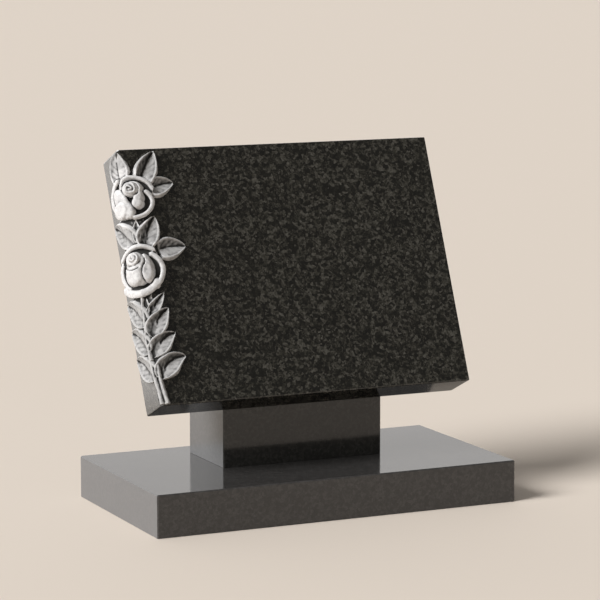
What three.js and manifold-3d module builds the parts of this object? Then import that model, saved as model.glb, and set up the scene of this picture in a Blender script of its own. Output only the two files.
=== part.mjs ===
// Book headstone: a polished granite tablet with a garland of roses carved round one arris, leaning on
// a rest block that stands on a base slab. Millimetres, +Z up, the face looks toward -Y.
import * as THREE from 'three';
import { mergeVertices } from 'three/addons/utils/BufferGeometryUtils.js';
import Module from 'manifold-3d';

const wasm = await Module();
wasm.setup();

// Sizes shared by all three stones.
const ARRIS = 2;
const JOINT = 0.3;

const BASE_WIDTH = 690;
const BASE_DEPTH = 370;
const BASE_HEIGHT = 75;

const REST_WIDTH = 310;
const REST_FRONT = -27;
const REST_BACK = 128;
const REST_TOP = 340;

const TABLET_WIDTH = 600;
const TABLET_TOP_WIDTH = 608;
const TABLET_LENGTH = 465;
const TABLET_THICKNESS = 75;
const TABLET_LEAN = THREE.MathUtils.degToRad(24);
const TABLET_TOE_Y = -95.9;
const TABLET_TOE_Z = 209.8;

// The garland follows the left front arris. Underneath it the arris is cut back, and the cut runs out
// toward both ends; the carving itself goes round a corner of this radius.
const CORNER_RADIUS = 18;
const CORNER_CUT = 10;
const CUT_AT_ENDS = 2.5;
const CUT_STOP_FOOT = 12;
const CUT_STOP_TOP = 27;
const CARVING_ROOT = 6;

// Leaves: where the stalk end and the tip lie (round the arris, up the tablet), full width, sideways bow
// of the midrib (positive to the left of its run), height of the rim, share of that height left at the
// midrib, and share of the leaf that is hidden behind the rose it comes out from. The rim runs at a share
// of the half width, drops to a share of its height at the very edge, and falls to the midrib by a power
// that differs from left to right. On leaves whose tip lies well over the face, the midrib is off the
// middle. The shares say where the surface is creased across a half.
const LEAF_RIM = 0.82;
const LEAF_EDGE = 0.45;
const LEAF_FOLD_LEFT = 1.7;
const LEAF_FOLD_RIGHT = 0.95;
const LEAF_OFF_MIDDLE = 0.18;
const LEAF_ON_FACE = 30;
const LEAF_CREASES = [-1, -LEAF_RIM, -0.4, 0, 0.4, LEAF_RIM, 1];
const PAST_RIM = 1.001;
const LEAVES = [
  { stalk: [-6, 408], tip: [-4, 462.5], width: 34, bow: 2, rim: 12, floor: 0.36, hidden: 0.14 },
  { stalk: [27, 402], tip: [57, 458], width: 43, bow: 0, rim: 13, floor: 0.1, hidden: 0.14 },
  { stalk: [41, 388], tip: [86, 398], width: 38, bow: 1, rim: 12, floor: 0.1, hidden: 0.18 },
  { stalk: [2, 286], tip: [-57, 338], width: 44, bow: -6, rim: 11, floor: 0.24, hidden: 0 },
  { stalk: [4, 292], tip: [7, 333], width: 12, bow: 0, rim: 9, floor: 0.2, hidden: 0 },
  { stalk: [14, 284], tip: [39, 339], width: 40, bow: 0, rim: 13, floor: 0.1, hidden: 0.06 },
  { stalk: [39, 276], tip: [89, 281], width: 42, bow: 1, rim: 12, floor: 0.1, hidden: 0.16 },
  { stalk: [-2, 143], tip: [-62, 198], width: 44, bow: -7, rim: 11, floor: 0.24, hidden: 0 },
  { stalk: [0, 160], tip: [2, 196], width: 11, bow: 0, rim: 8, floor: 0.2, hidden: 0 },
  { stalk: [2, 158], tip: [34, 200], width: 20, bow: 1, rim: 10, floor: 0.1, hidden: 0 },
  { stalk: [4, 122], tip: [37, 172], width: 34, bow: 4, rim: 12, floor: 0.1, hidden: 0 },
  { stalk: [-5, 95], tip: [-62, 148], width: 44, bow: -7, rim: 11, floor: 0.24, hidden: 0 },
  { stalk: [0, 86], tip: [43, 127], width: 35, bow: 6, rim: 12, floor: 0.1, hidden: 0 },
  { stalk: [-3, 46], tip: [-61, 98], width: 44, bow: -7, rim: 11, floor: 0.24, hidden: 0 },
  { stalk: [6, 46], tip: [55, 84], width: 40, bow: 9, rim: 13, floor: 0.1, hidden: 0 },
];

// Roses are drawn on a plan that looks out between the face and the side of the tablet, x to the right
// and y up from the arris at this height, and are then draped over the corner: settled into it, and
// falling back from it on both sides. The hollows between the petals keep a floor.
const ROSE_FACING = THREE.MathUtils.degToRad(35);
const ROSE_FLOOR = 4.5;
const ROSE_SETTLE = 8;
const ROSE_DRAPE = 0.75;
const ROSE_EASE = 12;

// The surface of a rose runs on rays from its middle, out to where the petals are lower than the edge.
const ROSE_RAYS = 44;
const ROSE_STEPS = 13;
const ROSE_SPACING = 0.8;
const ROSE_REACH = 62;
const ROSE_SEARCH = 0.25;
const ROSE_EDGE = 1.5;

// A rim is the lip of an outer petal on an arc, its radii and angles (degrees) given at both ends. Its
// inner side, its crest and its back are shares of its width.
const RIM_INNER = 1.1;
const RIM_CREST = 0.75;
const RIM_BACK = 0.2;

// A shell is an inner petal, a steep-sided oval mound with a tilt in degrees; a larger power makes its top
// flatter and a cup sinks its middle, out to a share of its size.
const SHELL_CUP = 0.8;

const ROSES = [
  {
    at: 375,
    middle: [8, -1],
    rims: [
      { centre: [14, 4], radii: [26, 32], angles: [148, 118], width: 4, crest: 14 },
      { centre: [14, 4], radii: [32, 30.5], angles: [120, 14], width: 4.2, crest: 14 },
      { centre: [15, -8], radii: [24, 29], angles: [38, -100], width: 4.4, crest: 15 },
      { centre: [12, 2], radii: [41, 42], angles: [128, 235], width: 5, crest: 13 },
    ],
    shells: [
      { centre: [-10, -9], radii: [13.5, 31], tilt: 18, foot: 10, crown: 18.5, power: 5, cup: 0 },
      { centre: [1, -23], radii: [10, 16], tilt: 14, foot: 10, crown: 18.5, power: 5, cup: 0 },
      { centre: [-14, -19.5], radii: [15.5, 17], tilt: 8, foot: 12, crown: 21, power: 5, cup: 0 },
      { centre: [12, 14], radii: [18, 14.5], tilt: 0, foot: 9, crown: 22, power: 4, cup: 0 },
      { centre: [20, -4], radii: [9, 18], tilt: -14, foot: 6, crown: 20.5, power: 3, cup: 2 },
      { centre: [17.5, -12], radii: [10, 11], tilt: 0, foot: 8, crown: 21, power: 2.8, cup: 2 },
    ],
  },
  {
    at: 243,
    middle: [1, -2],
    rims: [
      { centre: [0, 2], radii: [39, 43], angles: [140, 46], width: 4.4, crest: 13 },
      { centre: [6, -2], radii: [33, 35], angles: [54, -46], width: 5, crest: 15 },
      { centre: [0, -2], radii: [35.5, 41], angles: [-40, -145], width: 7.4, crest: 15 },
      { centre: [0, 0], radii: [36, 36], angles: [150, 228], width: 4.4, crest: 12 },
    ],
    shells: [
      { centre: [0, 1], radii: [27, 28.5], tilt: 0, foot: 8, crown: 20.5, power: 2.8, cup: 0 },
      { centre: [-8, -7], radii: [19.5, 20], tilt: 15, foot: 10, crown: 22.5, power: 4, cup: 0 },
      { centre: [14.5, 1], radii: [12, 27], tilt: 4, foot: 8, crown: 23, power: 3.4, cup: 3.5 },
      { centre: [-5, 20], radii: [17, 13], tilt: 0, foot: 12, crown: 25.5, power: 2.6, cup: 0 },
    ],
  },
];

// Stalks: half-round runs through these places, with half width and height, each thinner at its far end.
const STEMS = [
  { run: [[9, 1], [6, 25], [4, 50], [4, 76]], half: 3.8, crown: 10 },
  { run: [[1, 1], [0, 25], [-3, 50], [-5, 85], [-4, 112]], half: 3.8, crown: 10 },
  { run: [[-3, 80], [-6, 118], [-4, 138], [0, 152]], half: 3.2, crown: 10 },
  { run: [[-5, 135], [-3, 165], [-3, 186], [0, 205]], half: 3, crown: 9 },
];

// Low ground left standing between the leaves: from and to up the tablet, reach round the arris, height.
const GROUNDS = [
  { from: 50, to: 205, left: -32, right: 12, height: 2.5 },
  { from: 275, to: 345, left: -34, right: 20, height: 2.5 },
  { from: 396, to: 432, left: -16, right: 8, height: 2.5 },
];

// Cuts the corners of a convex outline: one size for each corner.
function cutCorners(outline, sizes) {
  const cut = [];
  outline.forEach((corner, i) => {
    const before = outline[(i + outline.length - 1) % outline.length];
    const after = outline[(i + 1) % outline.length];
    for (const end of [before, after]) {
      const toward = end.clone().sub(corner).normalize();
      cut.push(corner.clone().addScaledVector(toward, sizes[i]));
    }
  });
  return cut;
}

// Moves every side of a convex counter-clockwise outline inward by one distance.
function inset(outline, distance) {
  const count = outline.length;
  const sides = outline.map((start, i) => {
    const along = outline[(i + 1) % count].clone().sub(start).normalize();
    const inward = new THREE.Vector2(-along.y, along.x);
    return { start: start.clone().addScaledVector(inward, distance), along };
  });
  return sides.map((side, i) => {
    const last = sides[(i + count - 1) % count];
    const gap = side.start.clone().sub(last.start);
    const reach = gap.cross(side.along) / last.along.cross(side.along);
    return last.start.clone().addScaledVector(last.along, reach);
  });
}

// Closed body through a stack of outlines with the same number of corners.
function loft(layers) {
  const count = layers[0].outline.length;
  const positions = [];
  const index = [];
  for (const { outline, level } of layers) {
    outline.forEach((point) => positions.push(point.x, point.y, level));
  }
  for (let layer = 0; layer + 1 < layers.length; layer += 1) {
    for (let i = 0; i < count; i += 1) {
      const a = layer * count + i;
      const b = layer * count + (i + 1) % count;
      index.push(a, b, b + count, a, b + count, a + count);
    }
  }
  const top = (layers.length - 1) * count;
  for (let i = 1; i + 1 < count; i += 1) {
    index.push(0, i + 1, i, top, top + i, top + i + 1);
  }
  return indexed(positions, index);
}

function indexed(positions, index) {
  const geometry = new THREE.BufferGeometry();
  geometry.setAttribute('position', new THREE.Float32BufferAttribute(positions, 3));
  geometry.setIndex(index);
  return geometry;
}

// Prism along its own Z with eased ends.
function prism(outline, from, to, fromArris, toArris) {
  const layers = [{ outline, level: from + fromArris }, { outline, level: to - toArris }];
  if (fromArris > 0) {
    layers.unshift({ outline: inset(outline, fromArris), level: from });
  }
  if (toArris > 0) {
    layers.push({ outline: inset(outline, toArris), level: to });
  }
  return loft(layers);
}

function rectangle(x0, y0, x1, y1) {
  const corners = [[x0, y0], [x1, y0], [x1, y1], [x0, y1]];
  return corners.map(([x, y]) => new THREE.Vector2(x, y));
}

// How far each side of the tablet has moved out at this height: it spreads a little toward its top.
function spread(v) {
  return (TABLET_TOP_WIDTH - TABLET_WIDTH) / 2 * v / TABLET_LENGTH;
}

// Places a point of the carving on the tablet: s round the arris (front positive, side negative),
// v up the tablet, h out from the stone. The side's share of the carving moves out with the side.
function place(s, v, h) {
  const half = CORNER_RADIUS * Math.PI / 4;
  const angle = Math.PI / 4 + THREE.MathUtils.clamp(s, -half, half) / CORNER_RADIUS;
  const reach = CORNER_RADIUS + h;
  const x = CORNER_RADIUS - reach * Math.cos(angle) + Math.max(s - half, 0);
  const n = reach * Math.sin(angle) - CORNER_RADIUS - Math.max(-s - half, 0);
  const share = THREE.MathUtils.clamp((half - s) / (2 * half), 0, 1);
  return [x - share * spread(v) - TABLET_WIDTH / 2, v, n];
}

// Closed solid over a band of the stone: path gives its middle line, halfWidth its reach to each
// side, height its top surface across the lanes (-1 to 1). Its underside is sunk into the stone.
function band({ path, halfWidth, height, stations, lanes }) {
  const positions = [];
  const index = [];
  const columns = lanes.length;
  const layer = (stations + 1) * columns;
  for (const top of [true, false]) {
    for (let i = 0; i <= stations; i += 1) {
      const t = i / stations;
      const [s, v] = path(t);
      const [s1, v1] = path(t + 0.01);
      const [s0, v0] = path(t - 0.01);
      const across = new THREE.Vector2(v0 - v1, s1 - s0).normalize();
      for (const c of lanes) {
        const reach = c * halfWidth(t);
        const h = top ? height(t, c) : -CARVING_ROOT;
        positions.push(...place(s + across.x * reach, v + across.y * reach, h));
      }
    }
  }
  for (let i = 0; i < stations; i += 1) {
    for (let j = 0; j + 1 < columns; j += 1) {
      const a = i * columns + j;
      const b = a + columns;
      index.push(a, b, b + 1, a, b + 1, a + 1);
      index.push(layer + a, layer + b + 1, layer + b, layer + a, layer + a + 1, layer + b + 1);
    }
  }
  const rim = [];
  for (let i = 0; i < stations; i += 1) {
    rim.push(i * columns);
  }
  for (let j = 0; j + 1 < columns; j += 1) {
    rim.push(stations * columns + j);
  }
  for (let i = stations; i > 0; i -= 1) {
    rim.push(i * columns + columns - 1);
  }
  for (let j = columns - 1; j > 0; j -= 1) {
    rim.push(j);
  }
  rim.forEach((a, k) => {
    const b = rim[(k + 1) % rim.length];
    index.push(a, layer + a, layer + b, a, layer + b, b);
  });
  return indexed(positions, index);
}

// A leaf folded along its midrib, with raised rims and a sunk middle; its left half is the more hollow.
function leaf({ stalk, tip, width, bow, rim, floor, hidden }) {
  const chord = new THREE.Vector2(tip[0] - stalk[0], tip[1] - stalk[1]);
  const sideways = new THREE.Vector2(-chord.y, chord.x).normalize();
  const path = (t) => {
    const bend = 4 * bow * t * (1 - t);
    return [stalk[0] + chord.x * t + sideways.x * bend, stalk[1] + chord.y * t + sideways.y * bend];
  };
  const halfWidth = (t) => {
    const share = THREE.MathUtils.clamp(hidden + (1 - hidden) * t, 0, 1);
    return Math.max(1.5, width / 2 * Math.sin(Math.PI * share ** 0.8) ** 0.75);
  };
  const midrib = tip[0] > LEAF_ON_FACE ? LEAF_OFF_MIDDLE : 0;
  const lanes = LEAF_CREASES.map((share) => midrib + share * (1 - Math.sign(share) * midrib));
  const height = (t, c) => {
    const crest = rim * (0.75 + 0.7 * t - 0.9 * t * t);
    const across = Math.abs(c - midrib) / (c > midrib ? 1 - midrib : 1 + midrib) / LEAF_RIM;
    const fold = across ** (c > midrib ? LEAF_FOLD_LEFT : LEAF_FOLD_RIGHT);
    return crest * (across > PAST_RIM ? LEAF_EDGE : floor + (1 - floor) * fold);
  };
  return band({ path, halfWidth, height, stations: 8, lanes });
}

// A half-round run of the stalk.
function stem({ run, half, crown }) {
  const curve = new THREE.CatmullRomCurve3(run.map(([s, v]) => new THREE.Vector3(s, v, 0)));
  const path = (t) => {
    const { x, y } = curve.getPoint(THREE.MathUtils.clamp(t, 0, 1));
    return [x, y];
  };
  const halfWidth = (t) => half * (1 - 0.35 * t);
  const height = (t, c) => crown * Math.sqrt(Math.max(0.1, 1 - c * c));
  return band({ path, halfWidth, height, stations: 8, lanes: [-1, -0.6, 0, 0.6, 1] });
}

function ground({ from, to, left, right, height }) {
  const path = (t) => [(left + right) / 2, from + (to - from) * t];
  const lanes = [-1, -0.75, -0.5, -0.25, 0, 0.25, 0.5, 0.75, 1];
  return band({ path, halfWidth: () => (right - left) / 2, height: () => height, stations: 1, lanes });
}

// Distance of a point of the plan from an arc, positive outside its circle.
function arcReach(x, y, { centre, radii, angles }) {
  const [start, end] = angles;
  const middle = (start + end) / 2;
  const turn = THREE.MathUtils.radToDeg(Math.atan2(y - centre[1], x - centre[0]));
  const angle = middle + THREE.MathUtils.euclideanModulo(turn - middle + 180, 360) - 180;
  const share = THREE.MathUtils.clamp((angle - start) / (end - start), 0, 1);
  const radius = radii[0] + (radii[1] - radii[0]) * share;
  const near = THREE.MathUtils.degToRad(start + (end - start) * share);
  const gap = Math.hypot(x - centre[0] - radius * Math.cos(near), y - centre[1] - radius * Math.sin(near));
  return Math.hypot(x - centre[0], y - centre[1]) > radius ? gap : -gap;
}

// A rim rolls over at its crest; its back falls off more slowly than its lip.
function rimHeight(x, y, rim) {
  const reach = arcReach(x, y, rim) / rim.width;
  const lip = 1 - (reach / (reach < 0 ? RIM_INNER : RIM_CREST)) ** 2;
  const back = reach > 0 && reach < 1 ? 1 - RIM_BACK * reach ** 3 : 0;
  return rim.crest * Math.max(Math.sqrt(Math.max(lip, 0)), back);
}

function shellHeight(x, y, { centre, radii, tilt, foot, crown, power, cup }) {
  const middle = new THREE.Vector2(...centre);
  const spot = new THREE.Vector2(x, y).rotateAround(middle, -THREE.MathUtils.degToRad(tilt)).sub(middle);
  const share = Math.hypot(spot.x / radii[0], spot.y / radii[1]);
  const hollow = cup * Math.max(0, 1 - (share / SHELL_CUP) ** 2);
  return share < 1 ? foot + (crown - foot) * Math.sqrt(1 - share ** power) - hollow : 0;
}

// Closed solid of a rose: rays from its middle out to where the petals end, and a root in the stone.
function rose({ at, middle, rims, shells }) {
  const petals = (x, y) => Math.max(
    ...rims.map((rim) => rimHeight(x, y, rim)),
    ...shells.map((shell) => shellHeight(x, y, shell)),
  );
  const onPlan = (turn, far) => [middle[0] + far * Math.cos(turn), middle[1] + far * Math.sin(turn)];
  const edge = (turn) => {
    let far = ROSE_REACH;
    while (petals(...onPlan(turn, far)) < ROSE_EDGE) {
      far -= ROSE_SEARCH;
    }
    return far;
  };
  const positions = [];
  const index = [];
  const add = (x, y, sunk) => {
    const slope = x > 0 ? Math.tan(ROSE_FACING) : 1 / Math.tan(ROSE_FACING);
    const fall = ROSE_SETTLE + ROSE_DRAPE * slope * (Math.hypot(x, ROSE_EASE) - ROSE_EASE);
    const z = Math.max(petals(x, y), ROSE_FLOOR) - fall;
    let across = Math.cos(ROSE_FACING) * x - Math.sin(ROSE_FACING) * z;
    let out = Math.sin(ROSE_FACING) * x + Math.cos(ROSE_FACING) * z;
    if (sunk) {
      across = Math.max(across, CARVING_ROOT) + 0.01 * across;
      out = Math.min(out, -CARVING_ROOT) + 0.01 * out;
    }
    positions.push(across - TABLET_WIDTH / 2, at + y, out);
  };
  for (let k = 0; k < ROSE_RAYS; k += 1) {
    const turn = 2 * Math.PI * k / ROSE_RAYS;
    const reach = edge(turn);
    for (let j = 1; j <= ROSE_STEPS; j += 1) {
      add(...onPlan(turn, reach * (j / ROSE_STEPS) ** ROSE_SPACING), false);
    }
    add(...onPlan(turn, reach), true);
  }
  const top = positions.length / 3;
  add(...middle, false);
  add(...middle, true);
  const row = ROSE_STEPS + 1;
  for (let k = 0; k < ROSE_RAYS; k += 1) {
    const a = k * row;
    const b = (k + 1) % ROSE_RAYS * row;
    index.push(top, a, b, top + 1, b + ROSE_STEPS, a + ROSE_STEPS);
    for (let j = 0; j < ROSE_STEPS; j += 1) {
      index.push(a + j, a + j + 1, b + j + 1, a + j, b + j + 1, b + j);
    }
  }
  return indexed(positions, index);
}

function toManifold(geometry) {
  const bare = geometry.clone();
  bare.deleteAttribute('normal');
  bare.deleteAttribute('uv');
  const merged = mergeVertices(bare, 1e-4);
  const vertProperties = new Float32Array(merged.attributes.position.array);
  const triVerts = new Uint32Array(merged.index.array);
  return new wasm.Manifold(new wasm.Mesh({ numProp: 3, vertProperties, triVerts }));
}

function fromManifold(solid) {
  const { vertProperties, triVerts } = solid.getMesh();
  return indexed(Array.from(vertProperties), Array.from(triVerts));
}

function stone(name, geometry, roughness) {
  const material = new THREE.MeshStandardMaterial({ color: 0x45413d, roughness, metalness: 0 });
  geometry.computeVertexNormals();
  const mesh = new THREE.Mesh(geometry, material);
  mesh.name = name;
  return mesh;
}

// Base slab: sawn underneath, eased on every edge that shows.
function makeBase() {
  const outline = rectangle(-BASE_WIDTH / 2, -BASE_DEPTH / 2, BASE_WIDTH / 2, BASE_DEPTH / 2);
  return prism(cutCorners(outline, [ARRIS, ARRIS, ARRIS, ARRIS]), 0, BASE_HEIGHT, 0, ARRIS);
}

// Rest block: an upright block whose front is cut back to a seat for the tablet, below a flat top.
function makeRest() {
  const foot = BASE_HEIGHT + JOINT;
  const outline = rectangle(-REST_WIDTH / 2, REST_FRONT, REST_WIDTH / 2, REST_BACK);
  const block = prism(cutCorners(outline, [ARRIS, ARRIS, ARRIS, ARRIS]), foot, REST_TOP, 0, ARRIS);
  const sin = Math.sin(TABLET_LEAN);
  const cos = Math.cos(TABLET_LEAN);
  const heelY = TABLET_TOE_Y + TABLET_THICKNESS * cos;
  const heelZ = TABLET_TOE_Z - TABLET_THICKNESS * sin;
  const space = rectangle(-TABLET_THICKNESS, -JOINT, TABLET_LENGTH, 2 * TABLET_THICKNESS);
  const seat = prism(space, -REST_WIDTH, REST_WIDTH, 0, 0);
  const along = new THREE.Vector3(0, sin, cos);
  const inward = new THREE.Vector3(0, -cos, sin);
  const frame = new THREE.Matrix4().makeBasis(along, inward, new THREE.Vector3(1, 0, 0));
  seat.applyMatrix4(frame.setPosition(0, heelY, heelZ));
  return fromManifold(toManifold(block).subtract(toManifold(seat)));
}

// Tablet: built lying on its own axes with the garland joined on, then leaned back.
function makeTablet() {
  const outline = (v, cut) => {
    const reach = TABLET_WIDTH / 2 + spread(v);
    return cutCorners(rectangle(-reach, -TABLET_THICKNESS, reach, 0), [ARRIS, ARRIS, ARRIS, cut]);
  };
  const stopTop = TABLET_LENGTH - CUT_STOP_TOP;
  const slab = loft([
    { outline: inset(outline(TABLET_LENGTH, CUT_AT_ENDS), ARRIS), level: -TABLET_LENGTH },
    { outline: outline(TABLET_LENGTH - ARRIS, CUT_AT_ENDS), level: ARRIS - TABLET_LENGTH },
    { outline: outline(stopTop, CORNER_CUT + spread(stopTop)), level: -stopTop },
    { outline: outline(CUT_STOP_FOOT, CORNER_CUT), level: -CUT_STOP_FOOT },
    { outline: outline(ARRIS, CUT_AT_ENDS), level: -ARRIS },
    { outline: inset(outline(0, CUT_AT_ENDS), ARRIS), level: 0 },
  ]);
  let solid = toManifold(slab.rotateX(Math.PI / 2));
  const garland = [...LEAVES.map(leaf), ...STEMS.map(stem), ...GROUNDS.map(ground), ...ROSES.map(rose)];
  for (const piece of garland) {
    solid = solid.add(toManifold(piece));
  }
  const geometry = fromManifold(solid);
  geometry.rotateX(Math.PI / 2 - TABLET_LEAN);
  geometry.translate(0, TABLET_TOE_Y, TABLET_TOE_Z);
  return geometry;
}

const headstone = new THREE.Group();
headstone.name = 'book_headstone';
headstone.add(stone('base_slab', makeBase(), 0.2));
headstone.add(stone('rest_block', makeRest(), 0.2));
headstone.add(stone('tablet', makeTablet(), 0.25));

export default headstone;
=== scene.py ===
import math

import bmesh
import bpy
import numpy as np
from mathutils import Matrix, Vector, kdtree, noise


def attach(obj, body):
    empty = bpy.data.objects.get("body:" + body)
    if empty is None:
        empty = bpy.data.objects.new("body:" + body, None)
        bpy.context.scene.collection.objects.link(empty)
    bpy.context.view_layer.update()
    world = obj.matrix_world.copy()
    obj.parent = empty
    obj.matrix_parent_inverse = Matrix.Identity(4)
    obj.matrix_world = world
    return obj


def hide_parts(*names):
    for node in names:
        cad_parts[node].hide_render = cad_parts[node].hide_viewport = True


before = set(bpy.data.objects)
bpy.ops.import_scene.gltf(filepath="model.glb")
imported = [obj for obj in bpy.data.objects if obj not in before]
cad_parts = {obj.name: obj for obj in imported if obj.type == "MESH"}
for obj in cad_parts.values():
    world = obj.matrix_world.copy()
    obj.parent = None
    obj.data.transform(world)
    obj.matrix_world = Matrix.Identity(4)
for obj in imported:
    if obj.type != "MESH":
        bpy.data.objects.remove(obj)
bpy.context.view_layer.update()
scene = bpy.context.scene


# Camera, set at the photograph's viewing angle: from the front left, a little above the tablet,
# a long lens far off.
camera = bpy.data.objects.new("camera", bpy.data.cameras.new("camera"))
scene.collection.objects.link(camera)
camera.data.lens = 166.4
camera.data.sensor_width = 36
camera.data.clip_end = 200
camera.location = (-2.0583, -4.4355, 1.0805)
camera.rotation_euler = (math.radians(90 - 8.361), math.radians(0.05), math.radians(-24.972))
scene.camera = camera
scene.view_settings.view_transform = "Standard"


# Studio: a pale floor under a wide soft key from the upper left, a light card at the left that only the
# polish mirrors, and a room that is bright behind the object and dim in front of it and overhead.
floor_mesh = bpy.data.meshes.new("floor")
floor_mesh.from_pydata([(-60, -60, 0), (60, -60, 0), (60, 60, 0), (-60, 60, 0)], [], [(0, 1, 2, 3)])
floor = bpy.data.objects.new("floor", floor_mesh)
scene.collection.objects.link(floor)
floor.location.z = -0.0005
floor_paint = bpy.data.materials.new("floor_paint")
floor_paint.use_nodes = True
paint = floor_paint.node_tree.nodes["Principled BSDF"]
paint.inputs["Base Color"].default_value = (0.675, 0.60, 0.525, 1)
paint.inputs["Roughness"].default_value = 0.9
paint.inputs["Specular IOR Level"].default_value = 0.1
floor_mesh.materials.append(floor_paint)

key = bpy.data.objects.new("key", bpy.data.lights.new("key", "SUN"))
scene.collection.objects.link(key)
key.data.energy = 4.3
key.data.angle = math.radians(28)
key.rotation_euler = Vector((-0.80, -0.14, 0.56)).to_track_quat("Z", "Y").to_euler()

card = bpy.data.objects.new("card", bpy.data.lights.new("card", "AREA"))
scene.collection.objects.link(card)
card.data.shape = "RECTANGLE"
card.data.size = 1.9
card.data.size_y = 0.8
card.data.energy = 4.7
card.location = (-0.95, 0.75, 0.40)
card.rotation_euler = Vector((-0.66, 0.75, 0)).to_track_quat("Z", "Y").to_euler()
card.visible_camera = False
card.visible_diffuse = False

world = bpy.data.worlds.new("studio")
scene.world = world
world.use_nodes = True
room_nodes = world.node_tree.nodes
room_links = world.node_tree.links
direction = room_nodes.new("ShaderNodeTexCoord")
behind = room_nodes.new("ShaderNodeVectorMath")
behind.operation = "DOT_PRODUCT"
behind.inputs[1].default_value = (0, 0.48, -0.13)
room_links.new(direction.outputs["Generated"], behind.inputs[0])
shifted = room_nodes.new("ShaderNodeMath")
shifted.inputs[1].default_value = 0.5
room_links.new(behind.outputs["Value"], shifted.inputs[0])
room = room_nodes.new("ShaderNodeValToRGB")
room.color_ramp.elements[0].position = 0.1
room.color_ramp.elements[0].color = (0.17, 0.165, 0.155, 1)
room.color_ramp.elements[1].position = 0.9
room.color_ramp.elements[1].color = (0.95, 0.925, 0.905, 1)
for position, level in ((0.40, 0.20), (0.55, 0.32), (0.75, 0.58)):
    stop = room.color_ramp.elements.new(position)
    stop.color = (level, level * 0.98, level * 0.96, 1)
room_links.new(shifted.outputs[0], room.inputs["Fac"])
room_links.new(room.outputs["Color"], room_nodes["Background"].inputs["Color"])


# Base slab: one piece of granite laid flat on the ground, polished on top and in front, duller on its
# ends and honed behind, with a narrow arris. Its grain is calmer than the tablet's.

# Grain shared by all the stone: interlocked crystals a few millimetres across, mostly dark, some grey,
# a few pale. Gives the crystal tone, a fine mottle and a slow drift over the block.
grain = bpy.data.node_groups.new("granite_grain", "ShaderNodeTree")
for name in ("Crystal", "Mottle", "Drift"):
    grain.interface.new_socket(name, in_out="OUTPUT", socket_type="NodeSocketFloat")
grain_nodes = grain.nodes
grain_links = grain.links
out = grain_nodes.new("NodeGroupOutput")
where = grain_nodes.new("ShaderNodeTexCoord")
warp = grain_nodes.new("ShaderNodeTexNoise")
warp.inputs["Scale"].default_value = 260
warp.inputs["Detail"].default_value = 2
grain_links.new(where.outputs["Object"], warp.inputs["Vector"])
bend = grain_nodes.new("ShaderNodeVectorMath")
bend.operation = "MULTIPLY_ADD"
bend.inputs[1].default_value = (0.0022, 0.0022, 0.0022)
grain_links.new(warp.outputs["Color"], bend.inputs[0])
grain_links.new(where.outputs["Object"], bend.inputs[2])
coarse = grain_nodes.new("ShaderNodeTexVoronoi")
coarse.inputs["Scale"].default_value = 195
grain_links.new(bend.outputs[0], coarse.inputs["Vector"])
coarse_tone = grain_nodes.new("ShaderNodeSeparateColor")
grain_links.new(coarse.outputs["Color"], coarse_tone.inputs[0])
fine = grain_nodes.new("ShaderNodeTexVoronoi")
fine.inputs["Scale"].default_value = 440
grain_links.new(bend.outputs[0], fine.inputs["Vector"])
fine_tone = grain_nodes.new("ShaderNodeSeparateColor")
grain_links.new(fine.outputs["Color"], fine_tone.inputs[0])
both = grain_nodes.new("ShaderNodeMix")
both.inputs["Factor"].default_value = 0.38
grain_links.new(coarse_tone.outputs[0], both.inputs["A"])
grain_links.new(fine_tone.outputs[1], both.inputs["B"])
grain_links.new(both.outputs["Result"], out.inputs["Crystal"])
mottle = grain_nodes.new("ShaderNodeTexNoise")
mottle.inputs["Scale"].default_value = 90
mottle.inputs["Detail"].default_value = 4
grain_links.new(where.outputs["Object"], mottle.inputs["Vector"])
grain_links.new(mottle.outputs["Fac"], out.inputs["Mottle"])
drift = grain_nodes.new("ShaderNodeTexNoise")
drift.inputs["Scale"].default_value = 9
drift.inputs["Detail"].default_value = 3
grain_links.new(where.outputs["Object"], drift.inputs["Vector"])
grain_links.new(drift.outputs["Fac"], out.inputs["Drift"])

# Polished granite for every dressed face: near-black with grey crystals under a mirror polish. Faces
# turned to the back are only sawn and honed, so they are paler and matt. The named nodes are set again
# for each stone.
polished = bpy.data.materials.new("polished_granite")
polished.use_nodes = True
polished_nodes = polished.node_tree.nodes
polished_links = polished.node_tree.links
polish = polished_nodes["Principled BSDF"]
polish.inputs["IOR"].default_value = 1.54
crystals = polished_nodes.new("ShaderNodeGroup")
crystals.node_tree = grain
tone = polished_nodes.new("ShaderNodeMath")
tone.operation = "MULTIPLY_ADD"
tone.inputs[1].default_value = 0.7
polished_links.new(crystals.outputs["Crystal"], tone.inputs[0])
spread = polished_nodes.new("ShaderNodeMath")
spread.operation = "MULTIPLY"
spread.inputs[1].default_value = 0.3
polished_links.new(crystals.outputs["Mottle"], spread.inputs[0])
polished_links.new(spread.outputs[0], tone.inputs[2])
minerals = polished_nodes.new("ShaderNodeValToRGB")
minerals.name = "minerals"
tones = minerals.color_ramp
tones.elements[0].position = 0.28
tones.elements[0].color = (0.006, 0.0055, 0.0045, 1)
tones.elements[1].position = 0.80
tones.elements[1].color = (0.078, 0.074, 0.064, 1)
for position, level in ((0.42, 0.0095), (0.52, 0.018), (0.62, 0.031)):
    stop = tones.elements.new(position)
    stop.color = (level, level * 0.94, level * 0.74, 1)
polished_links.new(tone.outputs[0], minerals.inputs["Fac"])
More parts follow.
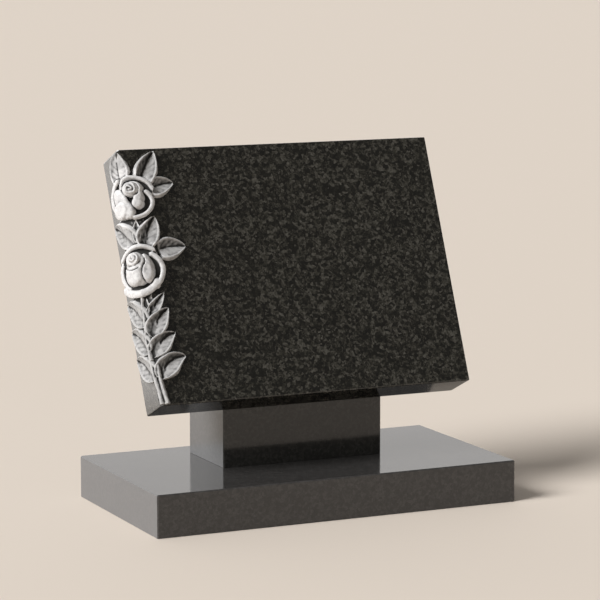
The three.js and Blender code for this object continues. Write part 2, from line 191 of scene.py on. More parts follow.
# Where a face is unpolished: wholly where it is turned to the back, and in part where it is an end.
shape = polished_nodes.new("ShaderNodeNewGeometry")
facing = polished_nodes.new("ShaderNodeVectorMath")
facing.operation = "DOT_PRODUCT"
facing.inputs[1].default_value = (0, 0.91, -0.41)
polished_links.new(shape.outputs["True Normal"], facing.inputs[0])
back = polished_nodes.new("ShaderNodeMath")
back.operation = "GREATER_THAN"
back.inputs[1].default_value = 0.88
polished_links.new(facing.outputs["Value"], back.inputs[0])
normal = polished_nodes.new("ShaderNodeSeparateXYZ")
polished_links.new(shape.outputs["True Normal"], normal.inputs[0])
sideways = polished_nodes.new("ShaderNodeMath")
sideways.operation = "ABSOLUTE"
polished_links.new(normal.outputs["X"], sideways.inputs[0])
end = polished_nodes.new("ShaderNodeMath")
end.operation = "GREATER_THAN"
end.inputs[1].default_value = 0.9
polished_links.new(sideways.outputs[0], end.inputs[0])
dulled = polished_nodes.new("ShaderNodeMath")
dulled.name = "dulled"
dulled.operation = "MULTIPLY"
dulled.inputs[1].default_value = 0.3
polished_links.new(end.outputs[0], dulled.inputs[0])
unpolished = polished_nodes.new("ShaderNodeMath")
unpolished.operation = "MAXIMUM"
polished_links.new(back.outputs[0], unpolished.inputs[0])
polished_links.new(dulled.outputs[0], unpolished.inputs[1])
# What an unpolished face looks like: the same crystals under a pale sawn skin.
honed = polished_nodes.new("ShaderNodeMix")
honed.data_type = "RGBA"
polished_links.new(unpolished.outputs[0], honed.inputs["Factor"])
polished_links.new(minerals.outputs["Color"], honed.inputs["A"])
sawn = polished_nodes.new("ShaderNodeMix")
sawn.data_type = "RGBA"
sawn.inputs["Factor"].default_value = 0.5
sawn.inputs["B"].default_value = (0.30, 0.30, 0.31, 1)
polished_links.new(minerals.outputs["Color"], sawn.inputs["A"])
polished_links.new(sawn.outputs["Result"], honed.inputs["B"])
polished_links.new(honed.outputs["Result"], polish.inputs["Base Color"])
# The polish: a mirror that drifts a little over the block, and a matt hone where it is unpolished.
shine = polished_nodes.new("ShaderNodeMapRange")
shine.inputs["From Min"].default_value = 0.3
shine.inputs["From Max"].default_value = 0.7
shine.inputs["To Min"].default_value = 0.055
shine.inputs["To Max"].default_value = 0.12
polished_links.new(crystals.outputs["Drift"], shine.inputs["Value"])
finish = polished_nodes.new("ShaderNodeMix")
finish.name = "finish"
polished_links.new(unpolished.outputs[0], finish.inputs["Factor"])
polished_links.new(shine.outputs["Result"], finish.inputs["A"])
finish.inputs["B"].default_value = 0.42
polished_links.new(finish.outputs["Result"], polish.inputs["Roughness"])
relief = polished_nodes.new("ShaderNodeBump")
relief.inputs["Strength"].default_value = 0.06
relief.inputs["Distance"].default_value = 0.0004
polished_links.new(crystals.outputs["Crystal"], relief.inputs["Height"])
polished_links.new(relief.outputs["Normal"], polish.inputs["Normal"])

# The slab's own granite, with calmer crystals.
base_granite = polished.copy()
base_granite.name = "base_granite"
base_ramp = base_granite.node_tree.nodes["minerals"].color_ramp
for stop, level in zip(base_ramp.elements, (0.034, 0.038, 0.043, 0.049, 0.060)):
    stop.color = (level, level * 0.95, level * 0.92, 1)
base_granite.node_tree.nodes["dulled"].inputs[1].default_value = 0.75
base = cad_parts["base_slab"]
base.data.materials.clear()
base.data.materials.append(base_granite)


# Rest block: granite, bonded upright on the slab, polished in front, a little duller at its ends and
# honed behind. Its sloping seat carries the tablet.
# A darker copy of the same granite, as painted shade: the block stands in the tablet's shadow.
shaded_rest_granite = polished.copy()
shaded_rest_granite.name = "shaded_rest_granite"
rest_ramp = shaded_rest_granite.node_tree.nodes["minerals"].color_ramp
for stop, level in zip(rest_ramp.elements, (0.018, 0.021, 0.025, 0.031, 0.042)):
    stop.color = (level, level * 0.97, level * 0.88, 1)
shaded_rest_granite.node_tree.nodes["dulled"].inputs[1].default_value = 0.6
shaded_rest_granite.node_tree.nodes["finish"].inputs["B"].default_value = 0.22
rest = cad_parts["rest_block"]
rest.data.materials.clear()
rest.data.materials.append(shaded_rest_granite)


# Tablet: a granite slab bonded to the seat, leaning back. Its face and ends are polished, and a garland
# of two roses, leaves and a stalk is carved from the same stone round the left front arris and left
# tooled, which makes it pale.

# The tooled granite of the carving: the same crystals bruised by the chisel, so they scatter light and
# read pale grey with faint dark flecks, rough to the touch.
tooled = bpy.data.materials.new("tooled_granite")
tooled.use_nodes = True
tooled_nodes = tooled.node_tree.nodes
tooled_links = tooled.node_tree.links
cut = tooled_nodes["Principled BSDF"]
cut.inputs["IOR"].default_value = 1.5
bruised = tooled_nodes.new("ShaderNodeGroup")
bruised.node_tree = grain
fleck = tooled_nodes.new("ShaderNodeValToRGB")
fleck.color_ramp.elements[0].position = 0.12
fleck.color_ramp.elements[0].color = (0.345, 0.34, 0.34, 1)
fleck.color_ramp.elements[1].position = 0.7
fleck.color_ramp.elements[1].color = (0.44, 0.435, 0.43, 1)
tooled_links.new(bruised.outputs["Crystal"], fleck.inputs["Fac"])
# Painted shade in the folds and hollows, as deep as the mesh says, and on the sides turned from the light.
depth = tooled_nodes.new("ShaderNodeAttribute")
depth.attribute_name = "painted_shade"
painted_shade_ramp = tooled_nodes.new("ShaderNodeValToRGB")
painted_shade_ramp.color_ramp.elements[0].position = 0.15
painted_shade_ramp.color_ramp.elements[0].color = (1.0, 1.0, 1.0, 1)
painted_shade_ramp.color_ramp.elements[1].position = 0.95
painted_shade_ramp.color_ramp.elements[1].color = (0.035, 0.034, 0.032, 1)
for position, level in ((0.5, 0.86), (0.7, 0.45)):
    stop = painted_shade_ramp.color_ramp.elements.new(position)
    stop.color = (level, level, level, 1)
tooled_links.new(depth.outputs["Fac"], painted_shade_ramp.inputs["Fac"])
shaded_tone = tooled_nodes.new("ShaderNodeMix")
shaded_tone.data_type = "RGBA"
shaded_tone.blend_type = "MULTIPLY"
shaded_tone.inputs["Factor"].default_value = 1
tooled_links.new(fleck.outputs["Color"], shaded_tone.inputs["A"])
tooled_links.new(painted_shade_ramp.outputs["Color"], shaded_tone.inputs["B"])
# Paler where the carving is rubbed.
smooth = tooled_nodes.new("ShaderNodeAttribute")
smooth.attribute_name = "rubbed"
paler = tooled_nodes.new("ShaderNodeMix")
paler.data_type = "RGBA"
paler.blend_type = "MULTIPLY"
paler.inputs["B"].default_value = (1.47, 1.47, 1.48, 1)
tooled_links.new(smooth.outputs["Fac"], paler.inputs["Factor"])
tooled_links.new(shaded_tone.outputs["Result"], paler.inputs["A"])
tooled_links.new(paler.outputs["Result"], cut.inputs["Base Color"])
cut.inputs["Roughness"].default_value = 0.8
# Fine chisel dents.
dents = tooled_nodes.new("ShaderNodeTexNoise")
dents.inputs["Scale"].default_value = 420
dents.inputs["Detail"].default_value = 3
there = tooled_nodes.new("ShaderNodeTexCoord")
tooled_links.new(there.outputs["Object"], dents.inputs["Vector"])
pitted = tooled_nodes.new("ShaderNodeBump")
pitted.inputs["Strength"].default_value = 0.35
pitted.inputs["Distance"].default_value = 0.0008
tooled_links.new(dents.outputs["Fac"], pitted.inputs["Height"])
tooled_links.new(pitted.outputs["Normal"], cut.inputs["Normal"])

# Sizes in mm. Places on the tablet are given as s, round the left front arris and positive on the face,
# v, up the tablet from its foot, and a height out of the stone. The tablet is wider at its top by the
# spread on each side, and the garland grows from a root under the surface. The toe is the left front
# corner of its foot.
WIDTH = 600.0
LENGTH = 465.0
THICK = 75.0
LEAN = math.radians(24)
TOE = np.array((-WIDTH / 2, -95.9, 209.8))
UP = np.array((0, math.sin(LEAN), math.cos(LEAN)))
OUT = np.array((0, -math.cos(LEAN), math.sin(LEAN)))
CORNER = 18.0
SPREAD = 4.0
ROOT = -6.0
METRES = 1000


# The place in the scene of a point x along the tablet, v up it and n out of its face.
def stand(x, v, n):
    points = TOE + np.multiply.outer(x, (1.0, 0, 0)) + np.multiply.outer(v, UP) + np.multiply.outer(n, OUT)
    return points / METRES


# The same for a point s round the arris, where a quarter circle joins the side to the face.
def place(s, v, h):
    half = CORNER * math.pi / 4
    angle = math.pi / 4 + np.clip(s, -half, half) / CORNER
    reach = CORNER + h
    side_share = np.clip((half - s) / (2 * half), 0, 1)
    x = CORNER - reach * np.cos(angle) + np.maximum(s - half, 0)
    x = x - SPREAD * v / LENGTH * side_share
    n = reach * np.sin(angle) - CORNER - np.maximum(-s - half, 0)
    return stand(x, v, n)


carved_points = []
carved_faces = []
shade_points = []
shade_depths = []


# A carved run: a closed strip along a path, with its surface at the given height and a flat root, and
# painted shade at each point of its surface.
def band(path, half_width, height, painted_shade_at, stations, lanes):
    t = np.linspace(0, 1, stations + 1)
    c = np.linspace(-1, 1, lanes)
    nudge = 0.005
    s, v = path(t)
    s_ahead, v_ahead = path(t + nudge)
    s_behind, v_behind = path(t - nudge)
    s_run, v_run = s_ahead - s_behind, v_ahead - v_behind
    run = np.hypot(s_run, v_run)
    reach = np.multiply.outer(half_width(t), c)
    s_all = s[:, None] - (v_run / run)[:, None] * reach
    v_all = v[:, None] + (s_run / run)[:, None] * reach
    t_all, c_all = np.meshgrid(t, c, indexing="ij")
    top = place(s_all, v_all, height(t_all, c_all)).reshape(-1, 3)
    root = place(s_all, v_all, np.full_like(s_all, ROOT)).reshape(-1, 3)
    shade_points.append(top)
    shade_depths.append(painted_shade_at(t_all, c_all).ravel())
    first = sum(len(p) for p in carved_points)
    below = first + len(top)
    carved_points.append(top)
    carved_points.append(root)
    for i in range(stations):
        for j in range(lanes - 1):
            a = i * lanes + j
            b = a + lanes
            carved_faces.append((first + a, first + b, first + b + 1, first + a + 1))
            carved_faces.append((below + a, below + a + 1, below + b + 1, below + b))
    outline = [i * lanes for i in range(stations)]
    outline += [stations * lanes + j for j in range(lanes - 1)]
    outline += [i * lanes + lanes - 1 for i in range(stations, 0, -1)]
    outline += list(range(lanes - 1, 0, -1))
    for a, b in zip(outline, outline[1:] + outline[:1]):
        carved_faces.append((first + a, below + a, below + b, first + b))


# A leaf: folded along its midrib, with a raised rim, a waved edge, sunk veins, and painted shade in its
# folds, heavier on its left half, which is turned from the light.
# On leaves whose tip lies well over the face, the midrib is off the middle.
ON_FACE = 30
OFF_MIDDLE = 0.18
EDGE_WAVES = 6
WAVE_SHARE = 0.018
FOLD_LEFT = 1.7
FOLD_RIGHT = 0.95
FOLD_REACH = 0.74
FOLD_TOP = 0.84
RIM_STEP_AT = 0.70
RIM_STEP = 0.08
RIM_EDGE = 0.82
EDGE_DROP = 0.55
VEIN_APART = 11
VEINS_MOST = 5.0
VEIN_SLANT = 0.42
VEIN_WIDE = 0.14
VEIN_DEEP = 0.5
VEIN_START = 0.05
VEIN_END = 0.8
VEIN_FADE = 0.2
MIDRIB_WIDE = 0.07
MIDRIB_DEEP = 1.0
RIGHT_SHADE = 0.05
LEAF_SHADE_END = 0.80
LEAF_SHADE_FADE = 0.12
TIP_SHADE_END = 0.98
TIP_SHADE_FADE = 0.1
NARROWEST = 0.8
FEWEST_STATIONS = 20
LEAF_LANES = 35


def leaf(stalk, tip, width, bow, rim, trough, hidden, left_shade):
    s_run, v_run = tip[0] - stalk[0], tip[1] - stalk[1]
    chord = math.hypot(s_run, v_run)
    aside = OFF_MIDDLE if tip[0] > ON_FACE else 0

    def path(t):
        bend = 4 * bow * t * (1 - t) / chord
        return stalk[0] + s_run * t - v_run * bend, stalk[1] + v_run * t + s_run * bend

    # Widest a little below the middle, and pointed at both ends.
    def half_width(t):
        along = np.clip(hidden + (1 - hidden) * t, 0.001, 0.999)
        body = np.sin(np.pi * along ** 0.8) ** 0.75
        waved = 1 + WAVE_SHARE * np.abs(np.sin(np.pi * EDGE_WAVES * t))
        return np.maximum(NARROWEST, width / 2 * body * waved)

    def from_midrib(c):
        return np.where(c > aside, (c - aside) / (1 - aside), (c - aside) / (1 + aside))

    # The rim is highest a little below the middle and lowest at the tip.
    def height(t, c):
        c = from_midrib(c)
        across = np.abs(c)
        crest = rim * (0.75 + 0.7 * t - 0.9 * t * t)
        fold = np.clip(across / FOLD_REACH, 0, 1) ** np.where(c > 0, FOLD_LEFT, FOLD_RIGHT)
        body = trough + (FOLD_TOP - trough) * fold
        body += (1 - FOLD_TOP) * np.clip((across - RIM_STEP_AT) / RIM_STEP, 0, 1)
        edge = np.clip((across - RIM_EDGE) / (1 - RIM_EDGE), 0, 1)
        raised = crest * body * (1 - EDGE_DROP * edge ** 1.8)
        fade = np.clip((VEIN_END - across) / VEIN_FADE, 0, 1) * (across > VEIN_START)
        beat = (t - VEIN_SLANT * across) * min(VEINS_MOST, chord / VEIN_APART)
        vein = np.exp(-(((beat + 0.5) % 1 - 0.5) / VEIN_WIDE) ** 2)
        midrib = np.exp(-((c / MIDRIB_WIDE) ** 2))
        toward_ends = np.sin(np.pi * np.clip(t, 0, 1)) ** 0.4
        return raised - (VEIN_DEEP * vein * fade + MIDRIB_DEEP * midrib) * toward_ends

    # Painted shade inside the rim, fading at the tip, heavier on the left half, which faces away from the
    # light.
    def painted_shade_at(t, c):
        c = from_midrib(c)
        inside = np.clip((LEAF_SHADE_END - np.abs(c)) / LEAF_SHADE_FADE, 0, 1)
        inside *= np.clip((TIP_SHADE_END - t) / TIP_SHADE_FADE, 0, 1)
        return inside * np.where(c > 0, left_shade, RIGHT_SHADE)

    band(path, half_width, height, painted_shade_at, max(FEWEST_STATIONS, int(chord)), LEAF_LANES)


# Each leaf: stalk end and tip as (s, v), full width, bow of the midrib to its left, height of the rim,
# share of it left at the midrib, share of the leaf that a rose hides, and painted shade on its left half.
LEAVES = (
    ((-6, 408), (-4, 462.5), 34, 2, 12, 0.36, 0.14, 0.12),
    ((27, 402), (57, 458), 43, 0, 13, 0.1, 0.14, 0.17),
    ((41, 388), (86, 398), 38, 1, 12, 0.1, 0.18, 0.02),
    ((2, 286), (-57, 338), 44, -6, 11, 0.24, 0.0, 0.02),
    ((4, 292), (7, 333), 12, 0, 9, 0.2, 0.0, 0.05),
    ((14, 284), (39, 339), 40, 0, 13, 0.1, 0.06, 0.13),
    ((39, 276), (89, 281), 42, 1, 12, 0.1, 0.16, 0.1),
    ((-2, 143), (-62, 198), 44, -7, 11, 0.24, 0.0, 0.02),
    ((0, 160), (2, 196), 11, 0, 8, 0.2, 0.0, 0.05),
    ((2, 158), (34, 200), 20, 1, 10, 0.1, 0.0, 0.1),
    ((4, 122), (37, 172), 34, 4, 12, 0.1, 0.0, 0.2),
    ((-5, 95), (-62, 148), 44, -7, 11, 0.24, 0.0, 0.02),
    ((0, 86), (43, 127), 35, 6, 12, 0.1, 0.0, 0.2),
    ((-3, 46), (-61, 98), 44, -7, 11, 0.24, 0.0, 0.02),
    ((6, 46), (55, 84), 40, 9, 13, 0.1, 0.0, 0.14),
)
for row in LEAVES:
    leaf(*row)


# How far a point on a rose's plan is outside an arc, or inside it where negative. The arc's radius
# and angle go from the first given to the second.
def arc_reach(x, y, centre, radii, angles):
    middle = sum(angles) / 2
    angle = np.degrees(np.arctan2(y - centre[1], x - centre[0]))
    angle = middle + (angle - middle + 180) % 360 - 180
    share = np.clip((angle - angles[0]) / (angles[1] - angles[0]), 0, 1)
    radius = radii[0] + (radii[1] - radii[0]) * share
    near = np.radians(angles[0] + (angles[1] - angles[0]) * share)
    side = np.hypot(x - centre[0], y - centre[1]) - radius
    gap = np.hypot(x - centre[0] - radius * np.cos(near), y - centre[1] - radius * np.sin(near))
    return np.where(side > 0, gap, -gap)


# The lips of the outer petals, each on an arc and a little uneven by hand. The inner side and the crest
# are shares of the width, and the back slopes off behind the crest.
LIP_INNER = 1.1
LIP_CREST = 0.75
LIP_BACK = 0.2
LIP_WANDER = 0.7
LIP_UNEVEN = 0.06


def rim_height(x, y, rims):
    h = np.zeros_like(x)
    for centre, radii, angles, width, crest in rims:
        angle = np.arctan2(y - centre[1], x - centre[0])
        reach = arc_reach(x, y, centre, radii, angles) - LIP_WANDER * np.sin(3 * angle + centre[0])
        lip_width = np.where(reach < 0, LIP_INNER, LIP_CREST) * width
        lip = np.sqrt(np.clip(1 - (reach / lip_width) ** 2, 0, 1))
        back = np.where((reach > 0) & (reach < width), 1 - LIP_BACK * (reach / width) ** 3, 0)
        uneven = 1 + LIP_UNEVEN * np.sin(5 * angle + centre[1])
        h = np.maximum(h, crest * uneven * np.maximum(lip, back))
    return h


# The inner petals, steep-sided oval mounds. A larger power makes a flatter top, and a cup sinks it.
CUP_REACH = 0.8


def shell_height(x, y, shells):
    h = np.zeros_like(x)
    for centre, radii, tilt, foot, crown, power, cup in shells:
        level, leaning = math.cos(math.radians(tilt)), math.sin(math.radians(tilt))
        across = (level * (x - centre[0]) + leaning * (y - centre[1])) / radii[0]
        along = (level * (y - centre[1]) - leaning * (x - centre[0])) / radii[1]
        share = np.hypot(across, along)
        dome = foot + (crown - foot) * np.sqrt(np.clip(1 - share ** power, 0, 1))
        dome -= cup * np.clip(1 - (share / CUP_REACH) ** 2, 0, 1)
        h = np.maximum(h, np.where(share < 1, dome, 0))
    return h


# The folds where one inner petal overlaps the next: a lift on one side of an arc and a groove beside it.
FOLD_FADE = 5
FOLD_NEAR = 7
FOLD_ENDS = 6
GROOVE_DEEP = 2.4
GROOVE_WIDE = 1.5


def fold_height(x, y, folds):
    h = np.zeros_like(x)
    for centre, radii, angles, side, lift in folds:
        reach = side * arc_reach(x, y, centre, radii, angles)
        away = np.clip((np.abs(reach) - FOLD_NEAR) / FOLD_ENDS, 0, 1)
        rise = np.where(reach > 0, np.exp(-reach / FOLD_FADE), 0)
        groove = np.exp(-(((reach + GROOVE_WIDE) / GROOVE_WIDE) ** 2))
        h += (lift * rise - GROOVE_DEEP * groove) * (1 - away)
    return h


# The whorl at the heart of a rose, a spiral of petal edges, each a slow rise and a sharp drop.
WHORL_STEP = 3.2
WHORL_SINK = 1.2
WHORL_RISE = 0.72


def whorl_height(x, y, centre, radius, turns, hand, ruffle):
    share = np.hypot(x - centre[0], y - centre[1]) / radius
    turn = hand * np.arctan2(y - centre[1], x - centre[0]) / (2 * np.pi)
    turn = turn + ruffle * np.sin(6 * np.pi * turn + 5 * share)
    fold = (turns * np.clip(share, 0, 1) ** 0.85 - turn) % 1
    rise = np.clip(fold / WHORL_RISE, 0, 1) ** 1.6
    drop = np.clip((fold - WHORL_RISE) / (1 - WHORL_RISE), 0, 1)
    return (WHORL_STEP * (rise - drop) - WHORL_SINK) * np.clip((1.08 - share) / 0.15, 0, 1)


# A rose: drawn on a plan that looks out between the face and the side, and draped over the corner. Its
# surface runs on rays from its middle out to where the petals end, the hollows keep a floor, and that floor
# gets painted shade.
ROSE_FACING = math.radians(35)
ROSE_FLOOR = 4.5
ROSE_SETTLE = 8
ROSE_DRAPE = 0.75
ROSE_EASE = 12
ROSE_EDGE = 1.5
ROSE_NEAREST = 25
ROSE_REACH = 62
ROSE_SEARCHES = 260
ROSE_RAYS = 240
ROSE_STEPS = 60
SHADE_BELOW = 9
SHADE_FADE = 3.5
SHADE_MOST = 0.5
SHADE_INSIDE = 0.93


def rose(height_at, middle, rims, shells, folds, whorl):
    turn = np.linspace(0, 2 * np.pi, ROSE_RAYS, endpoint=False)[:, None]

    def height(x, y):
        body = shell_height(x, y, shells)
        creases = fold_height(x, y, folds) + whorl_height(x, y, *whorl)
        return np.maximum(rim_height(x, y, rims), np.maximum(ROSE_FLOOR, body + creases * (body > 0)))

    far = np.linspace(ROSE_NEAREST, ROSE_REACH, ROSE_SEARCHES)[None, :]
    x_far, y_far = middle[0] + far * np.cos(turn), middle[1] + far * np.sin(turn)
    petals = np.maximum(rim_height(x_far, y_far, rims), shell_height(x_far, y_far, shells)) > ROSE_EDGE
    edge = (far * petals).max(axis=1)
    edge = np.convolve(np.concatenate((edge[-4:], edge, edge[:4])), np.ones(9) / 9, mode="valid")
    share = np.linspace(0.004, 1, ROSE_STEPS)[None, :] ** 0.8
    x = middle[0] + share * edge[:, None] * np.cos(turn)
    y = middle[1] + share * edge[:, None] * np.sin(turn)
    raised = height(x, y)
    slope = np.where(x > 0, math.tan(ROSE_FACING), 1 / math.tan(ROSE_FACING))
    z = raised - ROSE_SETTLE - ROSE_DRAPE * slope * (np.hypot(x, ROSE_EASE) - ROSE_EASE)
    across = math.cos(ROSE_FACING) * x - math.sin(ROSE_FACING) * z
    out = math.sin(ROSE_FACING) * x + math.cos(ROSE_FACING) * z
    top = stand(across, height_at + y, out).reshape(-1, 3)
    root_across = np.maximum(across, -ROOT) + 0.01 * across
    root_out = np.minimum(out, ROOT) + 0.01 * out
    root = stand(root_across, height_at + y, root_out).reshape(-1, 3)
    # Painted shade on the low floor between the petals, darker the lower it lies.
    low = np.clip((SHADE_BELOW - raised) / SHADE_FADE, 0, 1)
    shade_points.append(top)
    shade_depths.append((SHADE_MOST * low * (share < SHADE_INSIDE)).ravel())
    first = sum(len(p) for p in carved_points)
    below = first + len(top)
    carved_points.append(top)
    carved_points.append(root)
    for i in range(ROSE_RAYS):
        a, b = i * ROSE_STEPS, (i + 1) % ROSE_RAYS * ROSE_STEPS
        for j in range(ROSE_STEPS - 1):
            carved_faces.append((first + a + j, first + a + j + 1, first + b + j + 1, first + b + j))
            carved_faces.append((below + a + j, below + b + j, below + b + j + 1, below + a + j + 1))
        a, b = a + ROSE_STEPS - 1, b + ROSE_STEPS - 1
        carved_faces.append((first + a, below + a, below + b, first + b))
    carved_faces.append([first + i * ROSE_STEPS for i in range(ROSE_RAYS)])
    carved_faces.append([below + i * ROSE_STEPS for i in reversed(range(ROSE_RAYS))])


# On a rose's plan, x to the right and y up from the arris. A rim: centre, radii, angles in degrees, width
# and crest. A shell: centre, radii, tilt, foot, crown, power and cup. A fold: centre, radii, angles, the
# side that is lifted and the lift. The whorl: centre, radius, turns, hand and ruffle.
UPPER_ROSE_AT = 375
LOWER_ROSE_AT = 243
rose(
    height_at=UPPER_ROSE_AT,
    middle=(8, -1),
    rims=(
        ((14, 4), (26, 32), (148, 118), 4.0, 14),
        ((14, 4), (32, 30.5), (120, 14), 4.2, 14),
        ((15, -8), (24, 29), (38, -100), 4.4, 15),
        ((12, 2), (41, 42), (128, 235), 5.0, 13),
    ),
    shells=(
        ((-10, -9), (13.5, 31), 18, 10, 18.5, 5, 0),
        ((1, -23), (10, 16), 14, 10, 18.5, 5, 0),
        ((-14, -19.5), (15.5, 17), 8, 12, 21, 5, 0),
        ((12, 14), (18, 14.5), 0, 9, 22, 4, 0),
        ((20, -4), (9, 18), -14, 6, 20.5, 3, 2.0),
        ((17.5, -12), (10, 11), 0, 8, 21, 2.8, 2.0),
    ),
    folds=(
        ((11, 13), (15, 14), (100, -50), 1, 1.4),
    ),
    whorl=((9, 13.5), 13.5, 2.2, 1, 0.10),
)
rose(
    height_at=LOWER_ROSE_AT,
    middle=(1, -2),
    rims=(
        ((0, 2), (39, 43), (140, 46), 4.4, 13),
        ((6, -2), (33, 35), (54, -46), 5.0, 15),
        ((0, -2), (35.5, 41), (-40, -145), 7.4, 15),
        ((0, 0), (36, 36), (150, 228), 4.4, 12),
    ),
    shells=(
        ((0, 1), (27, 28.5), 0, 8, 20.5, 2.8, 0),
        ((-8, -7), (19.5, 20), 15, 10, 22.5, 4, 0),
        ((14.5, 1), (12, 27), 4, 8, 23, 3.4, 3.5),
        ((-5, 20), (17, 13), 0, 12, 25.5, 2.6, 0),
    ),
    folds=(
        ((-7, 20), (20.3, 21), (185, 290), 1, 2.4),
        ((43.5, -10), (35, 35), (150, 205), -1, 1.6),
        ((-5, 15), (20.5, 21), (45, -18), 1, 1.6),
    ),
    whorl=((-5, 21), 14, 2.3, -1, 0),
)


# A run of the stalk: half round, thinner at its far end, with shallow fibres cut along it. Its path is
# evened out with a sliding window between the points given.
STEM_TAPER = 0.35
STEM_FIBRE = 0.3
STEM_SHADE = 0.16
STEM_STATION = 1.2
STEM_WINDOW = 23
STEM_LANES = 13


def stem(points, half, crown):
    knots = np.linspace(0, 1, len(points))
    spots = np.array(points, float)
    fine = np.linspace(-0.1, 1.1, 121)
    window = np.hanning(STEM_WINDOW) / np.hanning(STEM_WINDOW).sum()

    def eased(places):
        return np.convolve(np.pad(places, STEM_WINDOW // 2, mode="edge"), window, mode="valid")

    s_eased = eased(np.interp(fine, knots, spots[:, 0]))
    v_eased = eased(np.interp(fine, knots, spots[:, 1]))

    def path(t):
        return np.interp(t, fine, s_eased), np.interp(t, fine, v_eased)

    def half_width(t):
        return half * (1 - STEM_TAPER * t)

    def height(t, c):
        return crown * np.sqrt(np.clip(1 - c * c, 0.05, 1)) + STEM_FIBRE * np.sin(8 * c + 4 * np.sin(13 * t))

    # Painted shade, even along the stalk.
    def painted_shade_at(t, c):
        return np.full_like(t, STEM_SHADE)

    length = sum(math.dist(a, b) for a, b in zip(points, points[1:]))
    band(path, half_width, height, painted_shade_at, int(length / STEM_STATION), STEM_LANES)


stem(((9, 1), (6, 25), (4, 50), (4, 76)), 3.8, 10)
stem(((1, 1), (0, 25), (-3, 50), (-5, 85), (-4, 112)), 3.8, 10)
stem(((-3, 80), (-6, 118), (-4, 138), (0, 152)), 3.2, 10)
stem(((-5, 135), (-3, 165), (-3, 186), (0, 205)), 3.0, 9)


# The low ground left standing between the leaves, given painted shade: from and to up the tablet, and
# its reach to the left and the right of the arris.
GROUND_HEIGHT = 2.5
GROUND_SHADE = 0.35
GROUND_STATIONS = 60
GROUND_LANES = 15


def ground(low, high, left, right):
    band(
        lambda t: (np.full_like(t, (left + right) / 2), low + (high - low) * t),
        lambda t: np.full_like(t, (right - left) / 2),
        lambda t, c: np.full_like(t, GROUND_HEIGHT),
        lambda t, c: np.full_like(t, GROUND_SHADE),
        GROUND_STATIONS,
        GROUND_LANES,
    )


ground(50, 205, -32, 12)
ground(275, 345, -34, 20)
ground(396, 432, -16, 8)


# The vector attribute of every item of a list, as rows of three numbers.
def rows_of(items, attribute):
    flat = np.empty(len(items) * 3, np.float32)
    items.foreach_get(attribute, flat)
    return flat.reshape(-1, 3)


# What the modifiers of a piece make of it, kept as its own mesh.
def settle(piece):
    made = bpy.data.meshes.new_from_object(piece.evaluated_get(bpy.context.evaluated_depsgraph_get()))
    piece.modifiers.clear()
    piece.data = made
    return made


# The carving fused into one skin, eased, and left slightly uneven by the hand tools. Sizes in metres.
SKIN = 0.00095
TOOL_DEPTH = 0.00038
COARSE_CUTS = 110
FINE_CUTS = 260
carving_mesh = bpy.data.meshes.new("carving")
carving_mesh.from_pydata(np.concatenate(carved_points).tolist(), [], carved_faces)
carving = bpy.data.objects.new("carving", carving_mesh)
scene.collection.objects.link(carving)
fuse = carving.modifiers.new("fuse", "REMESH")
fuse.mode = "VOXEL"
fuse.voxel_size = SKIN
ease = carving.modifiers.new("ease", "SMOOTH")
ease.factor = 0.5
ease.iterations = 2
fused = settle(carving)
spots = rows_of(fused.vertices, "co")
outward = rows_of(fused.vertex_normals, "vector")
hand_cut = np.array(
    [noise.noise(Vector(p) * COARSE_CUTS) + 0.5 * noise.noise(Vector(p) * FINE_CUTS) for p in spots]
)
spots += outward * (TOOL_DEPTH * hand_cut)[:, None]
fused.vertices.foreach_set("co", spots.ravel())
fused.update()

# The slab: its left front arris is cut back under the garland between a stop at the foot and one at the
# top, and its other arrises are narrowly rounded. Sizes in mm, the bevel in metres.
ARRIS = 2.5
CUT_BACK = 10
FOOT_STOP = 12
TOP_STOP = 438
BEVEL = 0.0022
slab_mesh = bpy.data.meshes.new("tablet_stone")
block = bmesh.new()
rings = []
for v, cut in ((0, ARRIS), (FOOT_STOP, CUT_BACK), (TOP_STOP, CUT_BACK + SPREAD), (LENGTH, ARRIS)):
    left, right = -SPREAD * v / LENGTH, WIDTH + SPREAD * v / LENGTH
    ring = ((left + cut, 0), (right, 0), (right, -THICK), (left, -THICK), (left, -cut))
    rings.append([block.verts.new(stand(x, v, n)) for x, n in ring])
block.faces.new(rings[0])
block.faces.new(rings[-1])
for low, high in zip(rings, rings[1:]):
    for k in range(len(low)):
        block.faces.new((low[k], low[k - 1], high[k - 1], high[k]))
bmesh.ops.recalc_face_normals(block, faces=block.faces)
sharp = [e for e in block.edges if e.calc_face_angle() > math.radians(60)]
bmesh.ops.bevel(block, geom=sharp, offset=BEVEL, segments=2, profile=0.5, affect="EDGES")
block.to_mesh(slab_mesh)
block.free()
slab = bpy.data.objects.new("carved_tablet", slab_mesh)
scene.collection.objects.link(slab)

# Slab and carving joined into one stone, then thinned, mostly where it is flat.
MOST_TRIANGLES = 188000
for mesh in (slab_mesh, fused):
    mesh.materials.clear()
    mesh.materials.append(polished)
    mesh.materials.append(tooled)
fused.polygons.foreach_set("material_index", np.ones(len(fused.polygons), np.int32))
fused.polygons.foreach_set("use_smooth", np.ones(len(fused.polygons), bool))
join = slab.modifiers.new("join", "BOOLEAN")
join.operation = "UNION"
join.solver = "MANIFOLD"
join.object = carving
whole = settle(slab)
thin = slab.modifiers.new("thin", "DECIMATE")
thin.ratio = min(1, MOST_TRIANGLES / sum(len(f.vertices) - 2 for f in whole.polygons))
whole = settle(slab)
bpy.data.objects.remove(carving)
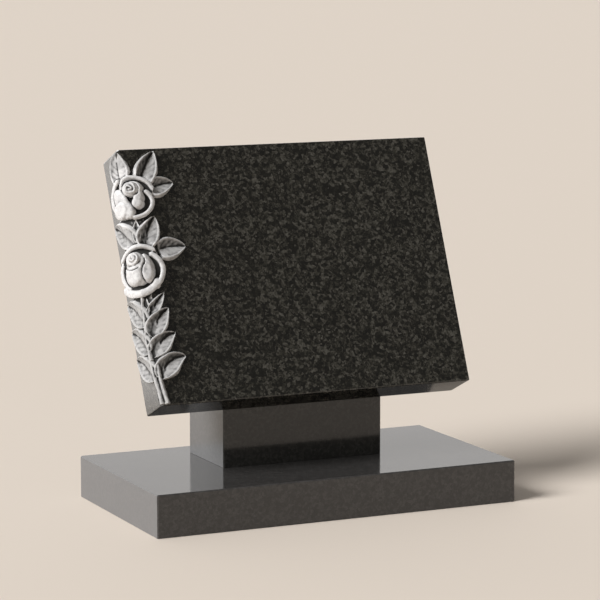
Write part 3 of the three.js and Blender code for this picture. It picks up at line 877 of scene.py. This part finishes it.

# Painted shade: how deep each point lies below the stone around it, darker in folds and hollows; narrow
# folds show after a few rounds of evening out, wide hollows after many. The painted shade given to the
# leaves, roses, stalk and ground is added to it.
NARROW_ROUNDS = 4
WIDE_ROUNDS = 24
NARROW_DARK = 1200
WIDE_DARK = 420
SHADE_REACH = 0.004
LEVEL_DARK = 0.45
BLUR_ROUNDS = 3
count = len(whole.vertices)
spots = rows_of(whole.vertices, "co").astype(float)
outward = rows_of(whole.vertex_normals, "vector")
pairs = np.empty(len(whole.edges) * 2, np.int32)
whole.edges.foreach_get("vertices", pairs)
one, other = pairs.reshape(-1, 2).T
neighbours = np.bincount(pairs, minlength=count)


def neighbour_sum(values):
    return np.bincount(one, values[other], count) + np.bincount(other, values[one], count)


settled = spots.copy()
sunk = np.zeros(count)
for evening in range(1, WIDE_ROUNDS + 1):
    total = np.stack([neighbour_sum(settled[:, axis]) for axis in range(3)], axis=1)
    settled = total / np.maximum(neighbours, 1)[:, None]
    if evening in (NARROW_ROUNDS, WIDE_ROUNDS):
        dark = NARROW_DARK if evening == NARROW_ROUNDS else WIDE_DARK
        sunk += np.einsum("ij,ij->i", settled - spots, outward) * dark
shade_places = kdtree.KDTree(sum(len(p) for p in shade_points))
for k, spot in enumerate(np.concatenate(shade_points)):
    shade_places.insert(spot, k)
shade_places.balance()
depths = np.concatenate(shade_depths)
for k, (_, nearest, distance) in enumerate(map(shade_places.find, spots)):
    sunk[k] += depths[nearest] if distance < SHADE_REACH else 0
for blur in range(BLUR_ROUNDS):
    sunk = (sunk + neighbour_sum(sunk)) / (1 + neighbours)
painted_shade = whole.attributes.new("painted_shade", "FLOAT", "POINT")
painted_shade.data.foreach_set("value", np.clip(LEVEL_DARK + sunk, 0, 1).astype(np.float32))

# The roses stand out most, so they are rubbed paler than the leaves.
HEART_ACROSS = 4.0
RUBBED_REACH = 0.058
RUBBED_FADE = 0.006
rubbed = np.zeros(count)
for height_at in (UPPER_ROSE_AT, LOWER_ROSE_AT):
    from_heart = np.linalg.norm(spots - stand(HEART_ACROSS, height_at, 0.0), axis=1)
    rubbed = np.maximum(rubbed, np.clip((RUBBED_REACH - from_heart) / RUBBED_FADE, 0, 1))
worn = whole.attributes.new("rubbed", "FLOAT", "POINT")
worn.data.foreach_set("value", rubbed.astype(np.float32))
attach(slab, "root")
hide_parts("tablet")


bpy.context.view_layer.update()
